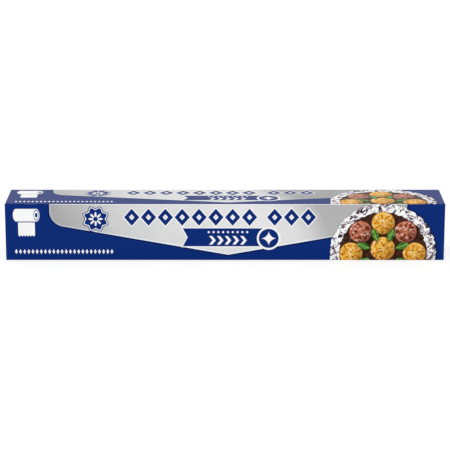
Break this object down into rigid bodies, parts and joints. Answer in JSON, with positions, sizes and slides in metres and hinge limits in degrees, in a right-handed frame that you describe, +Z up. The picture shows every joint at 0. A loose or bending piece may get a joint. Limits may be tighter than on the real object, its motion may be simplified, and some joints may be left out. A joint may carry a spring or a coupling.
{
  "type": "boxed aluminium foil roll",
  "caption": "Long square-section paperboard carton that holds a roll of kitchen foil, glued shut, with a lid flap lapped over its front and folded end flaps.",
  "frame": {"origin": "middle of the base that the carton lies on", "axes": "+X along the roll, to the right as the front is seen; +Y from the front to the back; +Z up, from the base to the lid"},
  "size_m": [0.311, 0.042, 0.0415],
  "materials": {
    "carton": "printed paperboard, satin varnish"
  },
  "bodies": {
    "root": {"foil_carton": "carton"}
  },
  "joints": []
}
